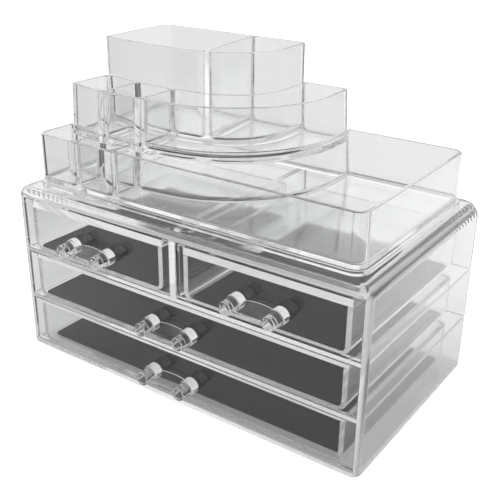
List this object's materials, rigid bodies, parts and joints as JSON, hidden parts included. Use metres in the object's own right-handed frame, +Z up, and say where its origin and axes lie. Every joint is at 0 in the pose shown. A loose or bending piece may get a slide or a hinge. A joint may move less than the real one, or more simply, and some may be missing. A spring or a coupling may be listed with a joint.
{
  "type": "cosmetics organizer",
  "caption": "Clear plastic cosmetics organizer: a case of lined pull-out drawers with knob handles, under a lift-off stepped tray of open compartments.",
  "frame": {"origin": "middle of the case's footprint, on the table that it stands on", "axes": "+Z up, +X to the right seen from the front, +Y to the back; the drawers open towards -Y"},
  "size_m": [0.2434, 0.1519, 0.1913],
  "materials": {
    "clear_plastic": "clear, polished",
    "dark_liner": "matt, fine nap"
  },
  "bodies": {
    "cabinet": {"case_shell": "clear_plastic", "lower_shelf": "clear_plastic", "upper_shelf": "clear_plastic", "center_divider": "clear_plastic"},
    "top_left_drawer": {"top_left_drawer_tub": "clear_plastic", "top_left_drawer_front": "clear_plastic", "top_left_drawer_handle": "clear_plastic", "top_left_drawer_liner": "dark_liner"},
    "top_right_drawer": {"top_right_drawer_tub": "clear_plastic", "top_right_drawer_front": "clear_plastic", "top_right_drawer_handle": "clear_plastic", "top_right_drawer_liner": "dark_liner"},
    "middle_drawer": {"middle_drawer_tub": "clear_plastic", "middle_drawer_front": "clear_plastic", "middle_drawer_handle": "clear_plastic", "middle_drawer_liner": "dark_liner"},
    "bottom_drawer": {"bottom_drawer_tub": "clear_plastic", "bottom_drawer_front": "clear_plastic", "bottom_drawer_handle": "clear_plastic", "bottom_drawer_liner": "dark_liner"},
    "tray": {"top_tray": "clear_plastic"}
  },
  "joints": [
    {"name": "top_left_drawer_slide", "type": "slide", "parent": "cabinet", "child": "top_left_drawer", "axis": [0, -1, 0], "range_m": [0, 0.095]},
    {"name": "top_right_drawer_slide", "type": "slide", "parent": "cabinet", "child": "top_right_drawer", "axis": [0, -1, 0], "range_m": [0, 0.095]},
    {"name": "middle_drawer_slide", "type": "slide", "parent": "cabinet", "child": "middle_drawer", "axis": [0, -1, 0], "range_m": [0, 0.095]},
    {"name": "bottom_drawer_slide", "type": "slide", "parent": "cabinet", "child": "bottom_drawer", "axis": [0, -1, 0], "range_m": [0, 0.095]},
    {"name": "tray_lift", "type": "slide", "parent": "cabinet", "child": "tray", "axis": [0, 0, 1], "range_m": [0, 0.06]}
  ]
}
